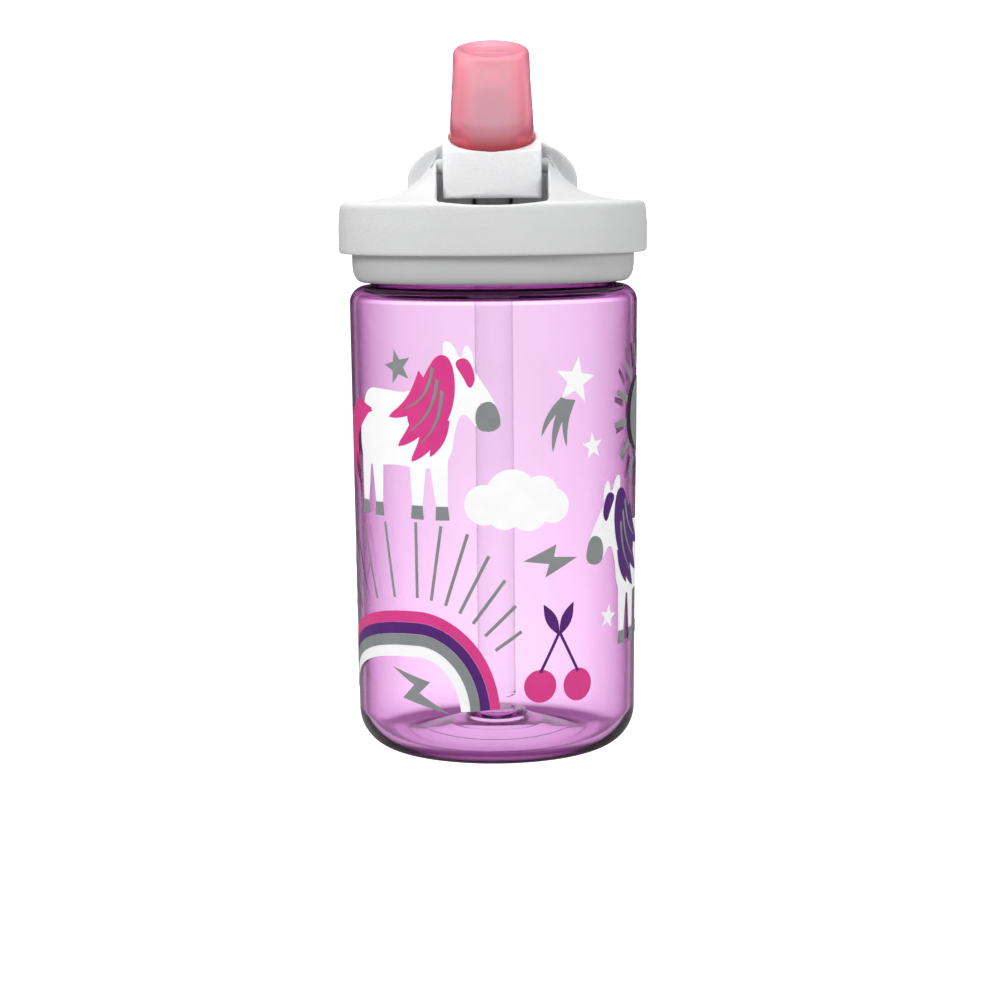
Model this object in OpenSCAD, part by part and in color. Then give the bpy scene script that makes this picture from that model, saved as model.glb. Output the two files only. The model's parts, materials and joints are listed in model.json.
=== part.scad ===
// Child's flip-spout water bottle: a clear screw-top body, a two-piece white lid with a
// carrying loop, a spout that folds forward to shut, a soft bite valve and a straw.
// Millimetres. +Z is up, the front is -Y, and the origin is the centre of the base.

/* [Body] */
// Outer diameter of the body just under its shoulder
body_top_d = 73.6; // [73:0.1:74.2]
// Outer diameter of the body just above its base corner
body_base_d = 71.6; // [70.6:0.1:72.6]
// Height of the shoulder's flat top
body_h = 119.5; // [110:0.5:130]
// Wall thickness of the body
wall = 1.5; // [1.3:0.1:1.8]
// Radius of the corner between wall and base
base_corner_r = 10; // [8:0.5:11]
// Radius of the rounded shoulder
shoulder_r = 4.4; // [4:0.1:4.6]
// Height of the push-up in the middle of the base, inside
punt_h = 9; // [8:0.5:10]

/* [Neck and thread] */
// Outer diameter of the neck between its threads
neck_d = 63; // [62.6:0.1:63.2]
// Wall thickness of the neck
neck_wall = 2.2; // [2:0.1:2.4]
// Height of the neck above the shoulder
neck_h = 12; // [12:0.1:12.4]
// Rise of the thread in one turn
thread_pitch = 5; // [4.8:0.1:5.2]
// Height of each thread ridge off its wall
thread_depth = 1.2; // [1:0.1:1.3]
// Turns of thread on the neck, and in the lid
thread_turns = 1.2; // [1:0.05:1.2]

/* [Lid] */
// Outer diameter of the lid's skirt
skirt_d = 79; // [78.6:0.1:80]
// Height of the skirt
skirt_h = 13.2; // [13:0.1:13.6]
// Outer diameter of the threaded ring below the skirt
ring_d = 72.2; // [72:0.1:72.4]
// Gap between the threaded ring and the shoulder
ring_gap = 0.3; // [0.3:0.1:1]
// Thickness of the gasket when the lid is shut
gasket_t = 1.6; // [1.4:0.1:1.8]
// Width of the slot that the spout folds in
slot_w = 28; // [27.6:0.1:28.4]
// Height of the lid's shoulders above the skirt
ear_rise = 12.6; // [12:0.1:13]

/* [Carrying loop] */
// Width of the loop where it meets the lid
loop_w = 44; // [43:0.5:45]
// Height of the loop above the skirt
loop_rise = 17.4; // [17:0.1:18]
// Radius of the finger hole's round ends
finger_r = 6.6; // [6.2:0.1:6.8]
// Length of the flat between the finger hole's round ends
finger_flat = 4.6; // [4:0.2:5]

/* [Spout] */
// Height of the spout's pivot above the skirt
pivot_rise = 8.8; // [8.7:0.1:9]
// Distance of the pivot in front of the bottle's axis
pivot_forward = 3; // [2.8:0.1:3.2]
// Forward lean of the open spout, in degrees
spout_lean = 20; // [18:1:22]
// Width of the spout's hood
hood_w = 24.8; // [24.6:0.1:25]
// Depth of the spout's hood
hood_depth = 19.6; // [19.4:0.1:19.8]
// Radius of the barrel that turns against the port seal
barrel_r = 6; // [5.9:0.1:6]
// Radius of the two domed pins that the spout turns on
pin_r = 1.9; // [1.8:0.1:2]
// Radius of the flow channel
channel_r = 2.75; // [2.6:0.05:2.8]

/* [Bite valve] */
// Height of the bite valve's tip above the pivot, along the spout
valve_top = 31; // [30:0.5:32]
// Width of the bite valve at its foot
valve_foot_w = 21.4; // [21:0.1:21.6]
// Width of the bite valve at its tip
valve_tip_w = 19.2; // [18.8:0.1:19.6]
// Share of its width that the bite valve is deep
valve_oval = 0.88; // [0.86:0.01:0.88]

/* [Straw] */
// Outer diameter of the straw
straw_d = 10; // [9.8:0.1:10.2]
// Wall thickness of the straw
straw_wall = 1.1; // [1:0.1:1.2]
// Gap between the straw and the floor of the body
straw_gap = 4; // [3:0.5:6]

/* [Hidden] */
$fn = 96;
EPS = 0.01;

lilac = [0.80, 0.55, 0.82, 0.45];
white = [0.93, 0.93, 0.94];
pink = [0.97, 0.55, 0.62, 0.85];
clear = [0.88, 0.86, 0.90, 0.5];

// Heights from the bottom up
neck_top = body_h + neck_h;
ring_bottom = body_h + ring_gap;
skirt_bottom = body_h + 8;
deck_z = skirt_bottom + skirt_h;
plate_z = neck_top + gasket_t;
plate_t = 2;
plate_top = plate_z + plate_t;
pivot_z = deck_z + pivot_rise;
pivot_y = -pivot_forward;

// The body's side is a straight taper: its radius is side_r0 at the base plane
side_tan = (body_top_d - body_base_d) / 2 / (body_h - shoulder_r - base_corner_r);
side_angle = atan(side_tan);
side_r0 = body_base_d / 2 - base_corner_r * side_tan;
neck_r = neck_d / 2;
mouth_r = neck_r - neck_wall;
thread_z = body_h + 3.6;
lid_thread_turn = 130;

// Base: a flat standing ring, then a conical push-up with a flat boss in its middle
stand_in_r = side_r0 - base_corner_r - 2;
boss_r = 7.3;
floor_t = 2;

// Lid
ring_r = ring_d / 2;
ring_in_r = neck_r + thread_depth + 0.5;
skirt_r = skirt_d / 2;
skirt_in_r = ring_r + 1.2;
deck_t = 2;
slot_floor = plate_top + 1.6;
slot_front = -22;
slot_back = pivot_y + 9.4;

// Riser: the upright tube behind the barrel, with its port facing forward
riser_r = 4.6;
riser_y = pivot_y + 12.4;
riser_top = pivot_z + 5.4;
port_seal_r = 4;
pin_dome_x = slot_w / 2 - 0.6;
running_gap = 0.25;

// Spout, in its own leaning frame with the pivot at the origin
rim_top = 7.2;
rim_lift = 0.8;
hood_bottom = -5.9;
hood_wall = 1.5;
hood_floor = 5.4;
nipple_r = 4.7;
nipple_top = 20;
valve_foot = hood_floor + hood_wall;

function arc(cx, cy, r, from, to, steps = 10) =
    [for (i = [0:steps]) let (a = from + (to - from) * i / steps) [cx + r * cos(a), cy + r * sin(a)]];

// A round-ended bar of the given length along X, in 2D
module stadium(length, r) {
    for (side = [-1, 1]) translate([side * length / 2, 0]) circle(r);
    square([length, 2 * r], center = true);
}

// An oval in 2D as a polygon, for the shapes that taper
module oval(w, d, steps = 56) {
    polygon([for (i = [0:steps - 1]) let (a = 360 * i / steps) [w / 2 * cos(a), d / 2 * sin(a)]]);
}

// Places its children in the spout's leaning frame
module in_spout() {
    translate([0, pivot_y, pivot_z]) rotate([spout_lean, 0, 0]) children();
}

// A thread ridge: one trapezoid swept up a helix, fading into its wall at both ends
module thread_ridge(wall_r, out, z_start, turns, base_w = 2.1, crest_w = 0.9) {
    steps = ceil(turns * 40);
    buried = 0.4;
    fade_steps = 5;
    ring = [for (i = [0:steps]) let (
        a = 360 * turns * i / steps,
        z = z_start + thread_pitch * turns * i / steps,
        full = min(1, (min(i, steps - i) + 0.6) / fade_steps),
        crest_r = wall_r + out * (full * thread_depth),
        root_r = wall_r - out * buried)
        each [for (p = [[root_r, -base_w / 2], [crest_r, -crest_w / 2], [crest_r, crest_w / 2], [root_r, base_w / 2]])
            [p[0] * cos(a), p[0] * sin(a), z + p[1]]]];
    sides = [for (i = [0:steps - 1], k = [0:3]) let (a = 4 * i + k, b = 4 * i + (k + 1) % 4)
        out > 0 ? [a, b, b + 4, a + 4] : [a, a + 4, b + 4, b]];
    caps = out > 0 ? [[3, 2, 1, 0], [for (k = [0:3]) 4 * steps + k]]
                   : [[0, 1, 2, 3], [for (k = [3:-1:0]) 4 * steps + k]];
    polyhedron(points = ring, faces = concat(sides, caps), convexity = 4);
}

// Half profile of the body from the base corner to the shoulder, moved inward by inset
function side_profile(inset) = let (
    r0 = side_r0 - inset / cos(side_angle),
    low_r = base_corner_r - inset, low_z = base_corner_r,
    high_r = shoulder_r - inset, high_z = body_h - shoulder_r,
    low_c = r0 + low_z * side_tan - low_r / cos(side_angle),
    high_c = r0 + high_z * side_tan - high_r / cos(side_angle))
    concat(arc(low_c, low_z, low_r, -90, -side_angle, 12), arc(high_c, high_z, high_r, -side_angle, 90, 8));

module bottle() {
    under = [[0, punt_h - floor_t], [boss_r - 0.6, punt_h - floor_t], [boss_r, punt_h - floor_t - 1.2],
             [stand_in_r - 1, 0.6], [stand_in_r, 0]];
    inside = [[mouth_r, neck_top], [mouth_r, body_h - wall]];
    inner = side_profile(wall);
    inner_up = [for (i = [len(inner) - 1:-1:0]) inner[i]];
    floor_line = [[stand_in_r - 0.4, floor_t + 0.4], [boss_r + 1.2, punt_h - 1.3], [boss_r, punt_h], [0, punt_h]];
    lip = arc(neck_r - 0.6, neck_top - 0.6, 0.6, 0, 90, 4);
    color(lilac) {
        rotate_extrude() polygon(concat(under, side_profile(0), [[neck_r, body_h]], lip, inside, inner_up, floor_line));
        thread_ridge(neck_r, 1, thread_z, thread_turns);
    }
}

module cap_gasket() {
    color(clear) translate([0, 0, neck_top]) difference() {
        cylinder(r = neck_r - 0.2, h = gasket_t);
        translate([0, 0, -1]) cylinder(r = mouth_r - 0.4, h = gasket_t + 2);
    }
}

// The screw part of the lid: ring, top plate, riser and straw socket
module cap_core() {
    plug_r = mouth_r - 0.8;
    corner = arc(ring_r - 4, ring_bottom + 4, 4, -60, 0, 6);
    flange = [[ring_r, skirt_bottom + 0.6], [skirt_in_r - 0.2, skirt_bottom + 0.6],
              [skirt_in_r - 0.2, skirt_bottom + 2], [ring_r, skirt_bottom + 2]];
    plate = [[ring_r, plate_top], [0, plate_top], [0, plate_z], [plug_r - 1.4, plate_z]];
    plug = [[plug_r - 1.4, neck_top - 3], [plug_r, neck_top - 3], [plug_r, plate_z]];
    bore = [[ring_in_r, plate_z], [ring_in_r, ring_bottom + 0.9]];
    color(white) {
        difference() {
            union() {
                rotate_extrude() polygon(concat(corner, flange, plate, plug, bore));
                translate([0, riser_y, plate_z]) cylinder(r = riser_r, h = riser_top - plate_z);
                translate([0, riser_y, plate_z - 11]) cylinder(r = straw_d / 2 + 1.6, h = 11 + EPS);
                translate([-port_seal_r - 0.8, pivot_y + barrel_r + 2, pivot_z - port_seal_r - 0.8])
                    cube([2 * port_seal_r + 1.6, riser_y - pivot_y - barrel_r - 2, 2 * port_seal_r + 1.6]);
            }
            // Flow path: straw socket, riser bore and the pocket for the port seal
            translate([0, riser_y, plate_z - 12]) cylinder(r = straw_d / 2, h = 12);
            translate([0, riser_y, plate_z - 2]) cylinder(r = channel_r, h = pivot_z - plate_z + 4.4);
            translate([0, riser_y, pivot_z]) rotate([90, 0, 0]) cylinder(r = channel_r, h = 20);
            translate([0, pivot_y + barrel_r + 3, pivot_z]) rotate([90, 0, 0]) cylinder(r = port_seal_r, h = 20);
            // Air holes round the vent valve's stem
            translate([vent_x, vent_y, plate_z - 1]) {
                cylinder(r = 1.1, h = plate_t + 2);
                for (a = [0:90:270]) rotate(a) translate([2.7, 0, 0]) cylinder(r = 0.6, h = plate_t + 2);
            }
        }
        // The lid's ridge runs half a pitch under the neck's, starting a part turn later
        rotate(lid_thread_turn) thread_ridge(ring_in_r, -1,
            thread_z + thread_pitch * (lid_thread_turn / 360 - 0.5), thread_turns);
    }
}

vent_x = -14;
vent_y = 12;

// A soft umbrella that lets air in through the plate and keeps water from coming out
module vent_valve() {
    color(clear) translate([vent_x, vent_y, plate_z]) {
        translate([0, 0, -0.9]) cylinder(r = 4, h = 0.9);
        translate([0, 0, -EPS]) cylinder(r = 1.1, h = plate_t + 0.6);
        translate([0, 0, plate_t]) cylinder(r = 1.7, h = 0.8);
    }
}

// Height of the lid's flared shoulder at a distance from its middle: steep, then a long foot
function flare_z(r) = deck_z - 0.3 + (ear_rise + 0.3) * exp(-(r - slot_w / 2) / 5.8);

module flare() {
    crown_r = slot_w / 2 - 1.8;
    foot_r = skirt_r - 5;
    step = 1.15;
    line = [for (r = [crown_r:step:foot_r]) [r, flare_z(r)]];
    rotate_extrude() polygon(concat([[0, plate_top], [0, flare_z(crown_r)]], line, [[foot_r, plate_top]]));
}

// The loop seen from the front, as half an ellipse
module loop_2d(steps = 40) {
    foot = 5;
    polygon(concat([for (i = [0:steps]) let (a = 180 * i / steps)
        [loop_w / 2 * cos(a), deck_z + foot + (loop_rise - foot) * sin(a)]],
        [[-loop_w / 2, plate_top], [loop_w / 2, plate_top]]));
}

strap = 3.8;
loop_y = riser_y + riser_r + 1.8 + finger_r + finger_flat / 2;
loop_z = deck_z + loop_rise - finger_r - strap;

module loop_side_2d() {
    outer_r = finger_r + strap;
    translate([loop_y, loop_z]) stadium(finger_flat, outer_r);
    polygon([[slot_back - 1, plate_top], [slot_back - 1, deck_z + loop_rise - 5], [slot_back + 2, deck_z + loop_rise - 1],
             [loop_y, deck_z + loop_rise], [loop_y + finger_flat / 2 + outer_r, loop_z],
             [loop_y + finger_flat / 2 + outer_r, plate_top]]);
}

// Extrudes a front-view outline along Y, or a side-view outline along X
module along_y(from, to) { translate([0, to, 0]) rotate([90, 0, 0]) linear_extrude(to - from) children(); }
module along_x(width) {
    rotate([90, 0, 90]) translate([0, 0, -width / 2]) linear_extrude(width) children();
}

module shell_solid() {
    top_r = 2.4;
    draft = 0.3;
    rotate_extrude() polygon(concat(
        [[0, plate_top], [ring_r + 0.05, plate_top], [skirt_in_r, plate_top - 1.5], [skirt_in_r, skirt_bottom]],
        arc(skirt_r - 0.8, skirt_bottom + 0.8, 0.8, -90, 0, 4),
        [[skirt_r, deck_z - 5.5]],
        arc(skirt_r - draft - top_r, deck_z - top_r, top_r, 0, 90, 8),
        [[0, deck_z]]));
    translate([0, -1, 0]) flare();
    intersection() {
        along_y(slot_back - 1, skirt_r) loop_2d();
        along_x(loop_w) loop_side_2d();
        cylinder(r = skirt_r - 2.4, h = 300);
    }
}

// The outer part of the lid: skirt, deck, the two shoulders and the carrying loop
module cap_shell() {
    clear_top = pivot_z + 40;
    color(white) difference() {
        shell_solid();
        // Slot for the spout, with a pocket behind it for the riser
        translate([-slot_w / 2, slot_front, slot_floor]) cube([slot_w, slot_back - slot_front, clear_top - slot_floor]);
        translate([-riser_r - 0.7, slot_back - 1, plate_top - 1])
            cube([2 * riser_r + 1.4, riser_y + riser_r + 0.5 - slot_back + 1, riser_top + 0.5 - plate_top + 1]);
        translate([0, riser_y, plate_top - 1]) cylinder(r = riser_r + 0.5, h = riser_top - plate_top + 1.5);
        // The shallow scoop that the folded bite valve lies over
        intersection() {
            translate([0, 0, deck_z + 97.2]) rotate([90, 0, 0]) cylinder(r = 98, h = skirt_r + 1);
            translate([-slot_w / 2, -skirt_r - 2, deck_z - 3]) cube([slot_w, skirt_r + 2 + slot_front + 1, 40]);
        }
        // Finger hole
        translate([0, loop_y, loop_z]) rotate([90, 0, 90]) translate([0, 0, -loop_w]) linear_extrude(2 * loop_w)
            stadium(finger_flat, finger_r);
        // Dimples for the domed pins, and the air way over the vent valve
        for (side = [-1, 1]) translate([side * pin_dome_x, pivot_y, pivot_z]) sphere(r = pin_r + 0.06);
        translate([vent_x, vent_y, plate_top - EPS]) cylinder(r = 4.4, h = 1.6);
        translate([vent_x - 4, vent_y + 8, plate_top - 1]) cylinder(r = 0.8, h = deck_z + 5 - plate_top);
        translate([vent_x - 4.8, vent_y, plate_top - EPS]) cube([1.6, 8, 1.2]);
    }
}

// A cup that presses on the barrel's back, its mouth cut to the barrel's curve
module port_seal() {
    color(clear) difference() {
        translate([0, pivot_y + barrel_r + 3, pivot_z]) rotate([90, 0, 0]) cylinder(r = port_seal_r, h = 3);
        translate([0, pivot_y + 30, pivot_z]) rotate([90, 0, 0]) cylinder(r = channel_r, h = 40);
        translate([-20, pivot_y, pivot_z]) rotate([0, 90, 0]) cylinder(r = barrel_r + running_gap, h = 40);
    }
}

module straw() {
    straw_top = plate_z - 2;
    straw_low = punt_h + straw_gap - 2.4;
    color(clear) translate([0, riser_y, 0]) difference() {
        translate([0, 0, straw_low]) cylinder(r = straw_d / 2, h = straw_top - straw_low);
        translate([0, 0, straw_low - 1]) cylinder(r = straw_d / 2 - straw_wall, h = straw_top - straw_low + 2);
    }
}

// The turning heart of the spout: barrel, two domed pins and the nipple
module spout_stem() {
    half_w = hood_w / 2 - hood_wall - 0.1;
    dome = arc(0, pin_dome_x, pin_r, 0, 90, 6);
    half = concat([[barrel_r, 0], [barrel_r, half_w], [pin_r, half_w]], dome);
    mirrored = [for (i = [len(half) - 1:-1:1]) [half[i][0], -half[i][1]]];
    color(white) translate([0, pivot_y, pivot_z]) difference() {
        union() {
            rotate([0, 90, 0]) rotate_extrude() polygon(concat(half, mirrored));
            rotate([spout_lean, 0, 0]) {
                cylinder(r = nipple_r, h = nipple_top);
                translate([0, 0, nipple_top - 3]) cylinder(r1 = nipple_r + 0.6, r2 = nipple_r - 0.4, h = 3);
            }
        }
        rotate([spout_lean, 0, 0]) cylinder(r = channel_r, h = nipple_top + 1);
        rotate([-90, 0, 0]) cylinder(r = channel_r, h = barrel_r + 1);
        sphere(r = channel_r + EPS);
    }
}

// The corner outside a rounding, in 2D, toward the given signs of X and Y
module corner_cut(r, sx, sy) {
    difference() {
        translate([sx > 0 ? -r : -1, sy > 0 ? -r : -1]) square(r + 1);
        translate([-sx * r, -sy * r]) circle(r);
    }
}

// The collar round the foot of the bite valve
module spout_hood() {
    half_w = hood_w / 2;
    half_d = hood_depth / 2;
    corner = 6;
    color(white) in_spout() difference() {
        intersection() {
            // Plan view: round corners behind, small ones in front
            translate([0, 0, hood_bottom]) linear_extrude(rim_top + rim_lift - hood_bottom) difference() {
                translate([-half_w, -half_d]) square([hood_w, hood_depth]);
                for (side = [-1, 1]) {
                    translate([side * half_w, half_d]) corner_cut(corner, side, 1);
                    translate([side * half_w, -half_d]) corner_cut(2, side, -1);
                }
            }
            // Side view: a flat rim in front that rises a little behind, and a rounded front foot
            along_x(hood_w + 2) polygon(concat(
                arc(-half_d + 2.4, hood_bottom + 2.4, 2.4, 180, 270, 6),
                [[5, hood_bottom], [half_d + 1, hood_floor - 2.5], [half_d + 1, rim_top + rim_lift],
                 [2, rim_top + rim_lift - 0.3], [-half_d + 4, rim_top], [-half_d, rim_top]]));
        }
        // The cup that the bite valve's foot stands in
        translate([0, 0, valve_foot]) linear_extrude(20) oval(valve_foot_w + 0.5, valve_foot_w * valve_oval - 0.3);
        translate([0, 0, hood_bottom - 1]) cylinder(r = nipple_r + 0.05, h = 20);
        // The hollow under the floor, round the barrel, and the trunnion holes
        translate([-half_w + hood_wall, -half_d + hood_wall, hood_bottom - 1])
            cube([hood_w - 2 * hood_wall, hood_depth, hood_floor - hood_bottom + 1]);
        rotate([0, 90, 0]) {
            translate([0, 0, -20]) cylinder(r = pin_r + 0.02, h = 40);
            translate([0, 0, hood_wall - half_w]) cylinder(r = barrel_r + 0.03, h = hood_w - 2 * hood_wall);
        }
        translate([-half_w - 1, half_d - 1.8, hood_bottom - 1]) cube([hood_w + 2, 10, hood_floor - hood_bottom + 1]);
    }
}

// A soft hollow valve with a slit in its tip, pushed over the nipple
module bite_valve() {
    tip_skin = 2.2;
    cavity_w = 14.6;
    foot_h = 10.5;
    foot_d = valve_foot_w * valve_oval - 0.8;
    edge = 1.6;
    color(pink) in_spout() difference() {
        hull() {
            translate([0, 0, valve_foot]) linear_extrude(0.1) oval(valve_foot_w, foot_d);
            translate([0, 0, valve_top - edge]) linear_extrude(0.1) oval(valve_tip_w, foot_d * valve_tip_w / valve_foot_w);
            translate([0, 0, valve_top - 0.1]) linear_extrude(0.1)
                oval(valve_tip_w - 2 * edge, foot_d * valve_tip_w / valve_foot_w - 2 * edge);
        }
        hull() {
            translate([0, 0, nipple_top]) linear_extrude(0.1) oval(cavity_w, cavity_w * 0.8);
            translate([0, 0, valve_top - tip_skin]) linear_extrude(0.1) oval(cavity_w - 2, cavity_w * 0.8 - 2);
            translate([0, 0, nipple_top - 2.5]) linear_extrude(0.1) oval(2 * nipple_r + 1, 2 * nipple_r + 1);
        }
        translate([0, 0, valve_foot - 1]) cylinder(r = nipple_r + 0.62, h = nipple_top - valve_foot + 1.5);
        translate([-4, -0.15, valve_top - tip_skin - 1]) cube([8, 0.3, tip_skin + 2]);
    }
}

bottle();
cap_gasket();
cap_core();
cap_shell();
vent_valve();
port_seal();
straw();
spout_stem();
spout_hood();
bite_valve();
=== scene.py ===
# %% [markdown]
# # A child's flip-spout water bottle
# The bottle is a clear lilac body, a white screw lid in two parts, a spout that folds forward,
# a soft bite valve and a straw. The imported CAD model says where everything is. This lesson
# gives each piece the surfaces and the finish of the real one.

# %% Load the frame
import json
import math
import bpy
from mathutils import Matrix, Vector


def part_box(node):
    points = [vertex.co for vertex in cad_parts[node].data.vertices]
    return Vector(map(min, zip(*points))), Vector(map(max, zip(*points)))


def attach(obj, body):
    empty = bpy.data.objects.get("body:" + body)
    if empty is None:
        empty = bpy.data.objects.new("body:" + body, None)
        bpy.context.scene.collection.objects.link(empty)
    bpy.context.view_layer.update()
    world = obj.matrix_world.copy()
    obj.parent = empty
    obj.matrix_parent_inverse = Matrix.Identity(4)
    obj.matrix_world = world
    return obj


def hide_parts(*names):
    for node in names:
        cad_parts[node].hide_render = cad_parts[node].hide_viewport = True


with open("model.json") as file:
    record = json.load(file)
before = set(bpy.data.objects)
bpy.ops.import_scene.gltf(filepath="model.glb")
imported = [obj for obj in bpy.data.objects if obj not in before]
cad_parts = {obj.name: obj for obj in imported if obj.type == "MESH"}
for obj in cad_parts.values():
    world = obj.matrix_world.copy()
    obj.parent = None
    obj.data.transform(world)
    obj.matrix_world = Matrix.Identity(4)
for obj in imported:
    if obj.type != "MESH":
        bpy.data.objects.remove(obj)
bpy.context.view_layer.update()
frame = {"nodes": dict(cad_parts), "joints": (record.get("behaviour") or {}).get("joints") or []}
nodes = frame["nodes"]
MM = 0.001

# %% [markdown]
# ## Sizes that the pieces share
# The heights and widths come from the boxes of the CAD nodes, so a change there carries over.
# All the numbers below are in millimetres, and MM turns them into Blender's metres.

# %% Read the sizes
def size_of(node):
    low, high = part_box(node)
    return low / MM, high / MM

body_high = size_of("bottle")[1]
shell_low, shell_high = size_of("cap_shell")
core_low, core_high = size_of("cap_core")
gasket_high = size_of("cap_gasket")[1]
straw_low, straw_high = size_of("straw")
joints = {j["name"]: j for j in frame["joints"]}
pivot = Vector(joints["spout_flip"]["pos_m"]) / MM
LEAN = math.radians(20)

neck_top = body_high.z
shoulder = neck_top - 12
skirt_bottom = shell_low.z
skirt_r = shell_high.x
deck = skirt_bottom + 13.2
plate_top = gasket_high.z + 2
print("shoulder", round(shoulder, 1), "deck", round(deck, 1), "pivot", [round(v, 1) for v in pivot])

# %% [markdown]
# ## Three ways to start a piece
# Nearly every piece here starts as an outline. A moulded bottle or lid is round, so its outline
# is spun about the axis, as a potter would turn it. A flat outline is filled and pulled out to
# a plate. Both are drawn the way a hand would: one point, then one extrusion for each next
# point. Arcs come from a small formula, so no long list of points is needed.

# %% Helpers for outlines
def arc(cx, cz, r, start, end, steps=10):
    angles = [math.radians(start + (end - start) * i / steps) for i in range(steps + 1)]
    return [(cx + r * math.cos(a), cz + r * math.sin(a)) for a in angles]

def draw_chain(name, points, place):
    """Draws the points as one chain of edges; place turns a flat point into a 3D one in mm."""
    bpy.ops.object.select_all(action="DESELECT")
    bpy.ops.mesh.primitive_plane_add(size=MM)
    piece = bpy.context.object
    piece.name = piece.data.name = name
    bpy.ops.object.mode_set(mode="EDIT")
    bpy.ops.mesh.select_mode(type="VERT")
    bpy.ops.mesh.select_all(action="SELECT")
    bpy.ops.mesh.merge(type="CENTER")
    spots = [Vector(place(*p)) * MM for p in points]
    bpy.ops.transform.translate(value=spots[0])
    for a, b in zip(spots, spots[1:]):
        bpy.ops.mesh.extrude_region_move(TRANSFORM_OT_translate={"value": b - a})
    bpy.ops.mesh.select_all(action="SELECT")
    return piece

def turned(name, outline, steps=160, centre=(0, 0)):
    """Spins an outline of (radius, height) points about an upright axis."""
    cx, cy = centre
    piece = draw_chain(name, outline, lambda r, z: (cx + r, cy, z))
    bpy.ops.mesh.spin(steps=steps, angle=2 * math.pi, center=(cx * MM, cy * MM, 0), axis=(0, 0, 1))
    bpy.ops.mesh.select_all(action="SELECT")
    bpy.ops.mesh.remove_doubles(threshold=2e-6)
    bpy.ops.mesh.normals_make_consistent(inside=False)
    bpy.ops.object.mode_set(mode="OBJECT")
    return piece

def plate(name, outline, place, pull):
    """Fills an outline and pulls it out by the vector pull, in mm."""
    piece = draw_chain(name, outline, place)
    bpy.ops.mesh.edge_face_add()
    bpy.ops.mesh.extrude_region_move(TRANSFORM_OT_translate={"value": Vector(pull) * MM})
    bpy.ops.mesh.select_all(action="SELECT")
    bpy.ops.mesh.normals_make_consistent(inside=False)
    bpy.ops.object.mode_set(mode="OBJECT")
    return piece

def only(piece):
    bpy.ops.object.select_all(action="DESELECT")
    piece.select_set(True)
    bpy.context.view_layer.objects.active = piece

def join_with(piece, tool, operation):
    """Adds or cuts away another solid with a Boolean modifier, and throws that solid away."""
    only(piece)
    mod = piece.modifiers.new("join", "BOOLEAN")
    mod.operation = operation
    mod.object = tool
    mod.solver = "EXACT"
    bpy.ops.object.modifier_apply(modifier=mod.name)
    bpy.data.objects.remove(tool)

def soften(piece, voxel, rounds, factor=0.5):
    """Remeshes a piece evenly and relaxes it, which rounds its edges as a mould does."""
    only(piece)
    mod = piece.modifiers.new("even", "REMESH")
    mod.mode = "VOXEL"
    mod.voxel_size = voxel * MM
    bpy.ops.object.modifier_apply(modifier=mod.name)
    mod = piece.modifiers.new("relax", "SMOOTH")
    mod.factor = factor
    mod.iterations = rounds
    bpy.ops.object.modifier_apply(modifier=mod.name)

def smooth_shade(piece, angle=32):
    only(piece)
    bpy.ops.object.shade_smooth_by_angle(angle=math.radians(angle))

def report(piece):
    piece.data.calc_loop_triangles()
    print(piece.name, "has", len(piece.data.loop_triangles), "triangles")

def finish_piece(piece, body, material, stands_for=()):
    piece.data.materials.clear()
    piece.data.materials.append(material)
    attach(piece, body)
    if stands_for:
        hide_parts(*stands_for)
    report(piece)

# %% [markdown]
# ## Finishes
# Each finish is a small node tree on one Principled shader. Colour varies a little over the
# surface through noise on Object coordinates, and a fine bump gives the grain of the mould.
# What is the same all over is set straight on the shader's socket.

# %% A material builder
def new_finish(name):
    material = bpy.data.materials.new(name)
    material.use_nodes = True
    tree = material.node_tree
    shader = tree.nodes["Principled BSDF"]
    coords = tree.nodes.new("ShaderNodeTexCoord")
    return material, tree, shader, coords.outputs["Object"]

def noise(tree, coords, scale, detail=3, rough=0.5):
    node = tree.nodes.new("ShaderNodeTexNoise")
    node.inputs["Scale"].default_value = scale
    node.inputs["Detail"].default_value = detail
    node.inputs["Roughness"].default_value = rough
    tree.links.new(coords, node.inputs["Vector"])
    return node.outputs["Fac"]

def between(tree, factor, low, high, target):
    """Drives a socket between two values, or two colours, by a noise factor."""
    if isinstance(low, tuple):
        ramp = tree.nodes.new("ShaderNodeValToRGB")
        ramp.color_ramp.elements[0].color = (*low, 1)
        ramp.color_ramp.elements[1].color = (*high, 1)
        ramp.color_ramp.elements[0].position = 0.3
        ramp.color_ramp.elements[1].position = 0.7
        tree.links.new(factor, ramp.inputs["Fac"])
        tree.links.new(ramp.outputs["Color"], target)
    else:
        spread = tree.nodes.new("ShaderNodeMapRange")
        spread.inputs["From Min"].default_value = 0.3
        spread.inputs["From Max"].default_value = 0.7
        spread.inputs["To Min"].default_value = low
        spread.inputs["To Max"].default_value = high
        tree.links.new(factor, spread.inputs["Value"])
        tree.links.new(spread.outputs["Result"], target)

def grain(tree, shader, height, strength, depth_mm):
    bump = tree.nodes.new("ShaderNodeBump")
    bump.inputs["Strength"].default_value = strength
    bump.inputs["Distance"].default_value = depth_mm * MM
    tree.links.new(height, bump.inputs["Height"])
    tree.links.new(bump.outputs["Normal"], shader.inputs["Normal"])
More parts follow.
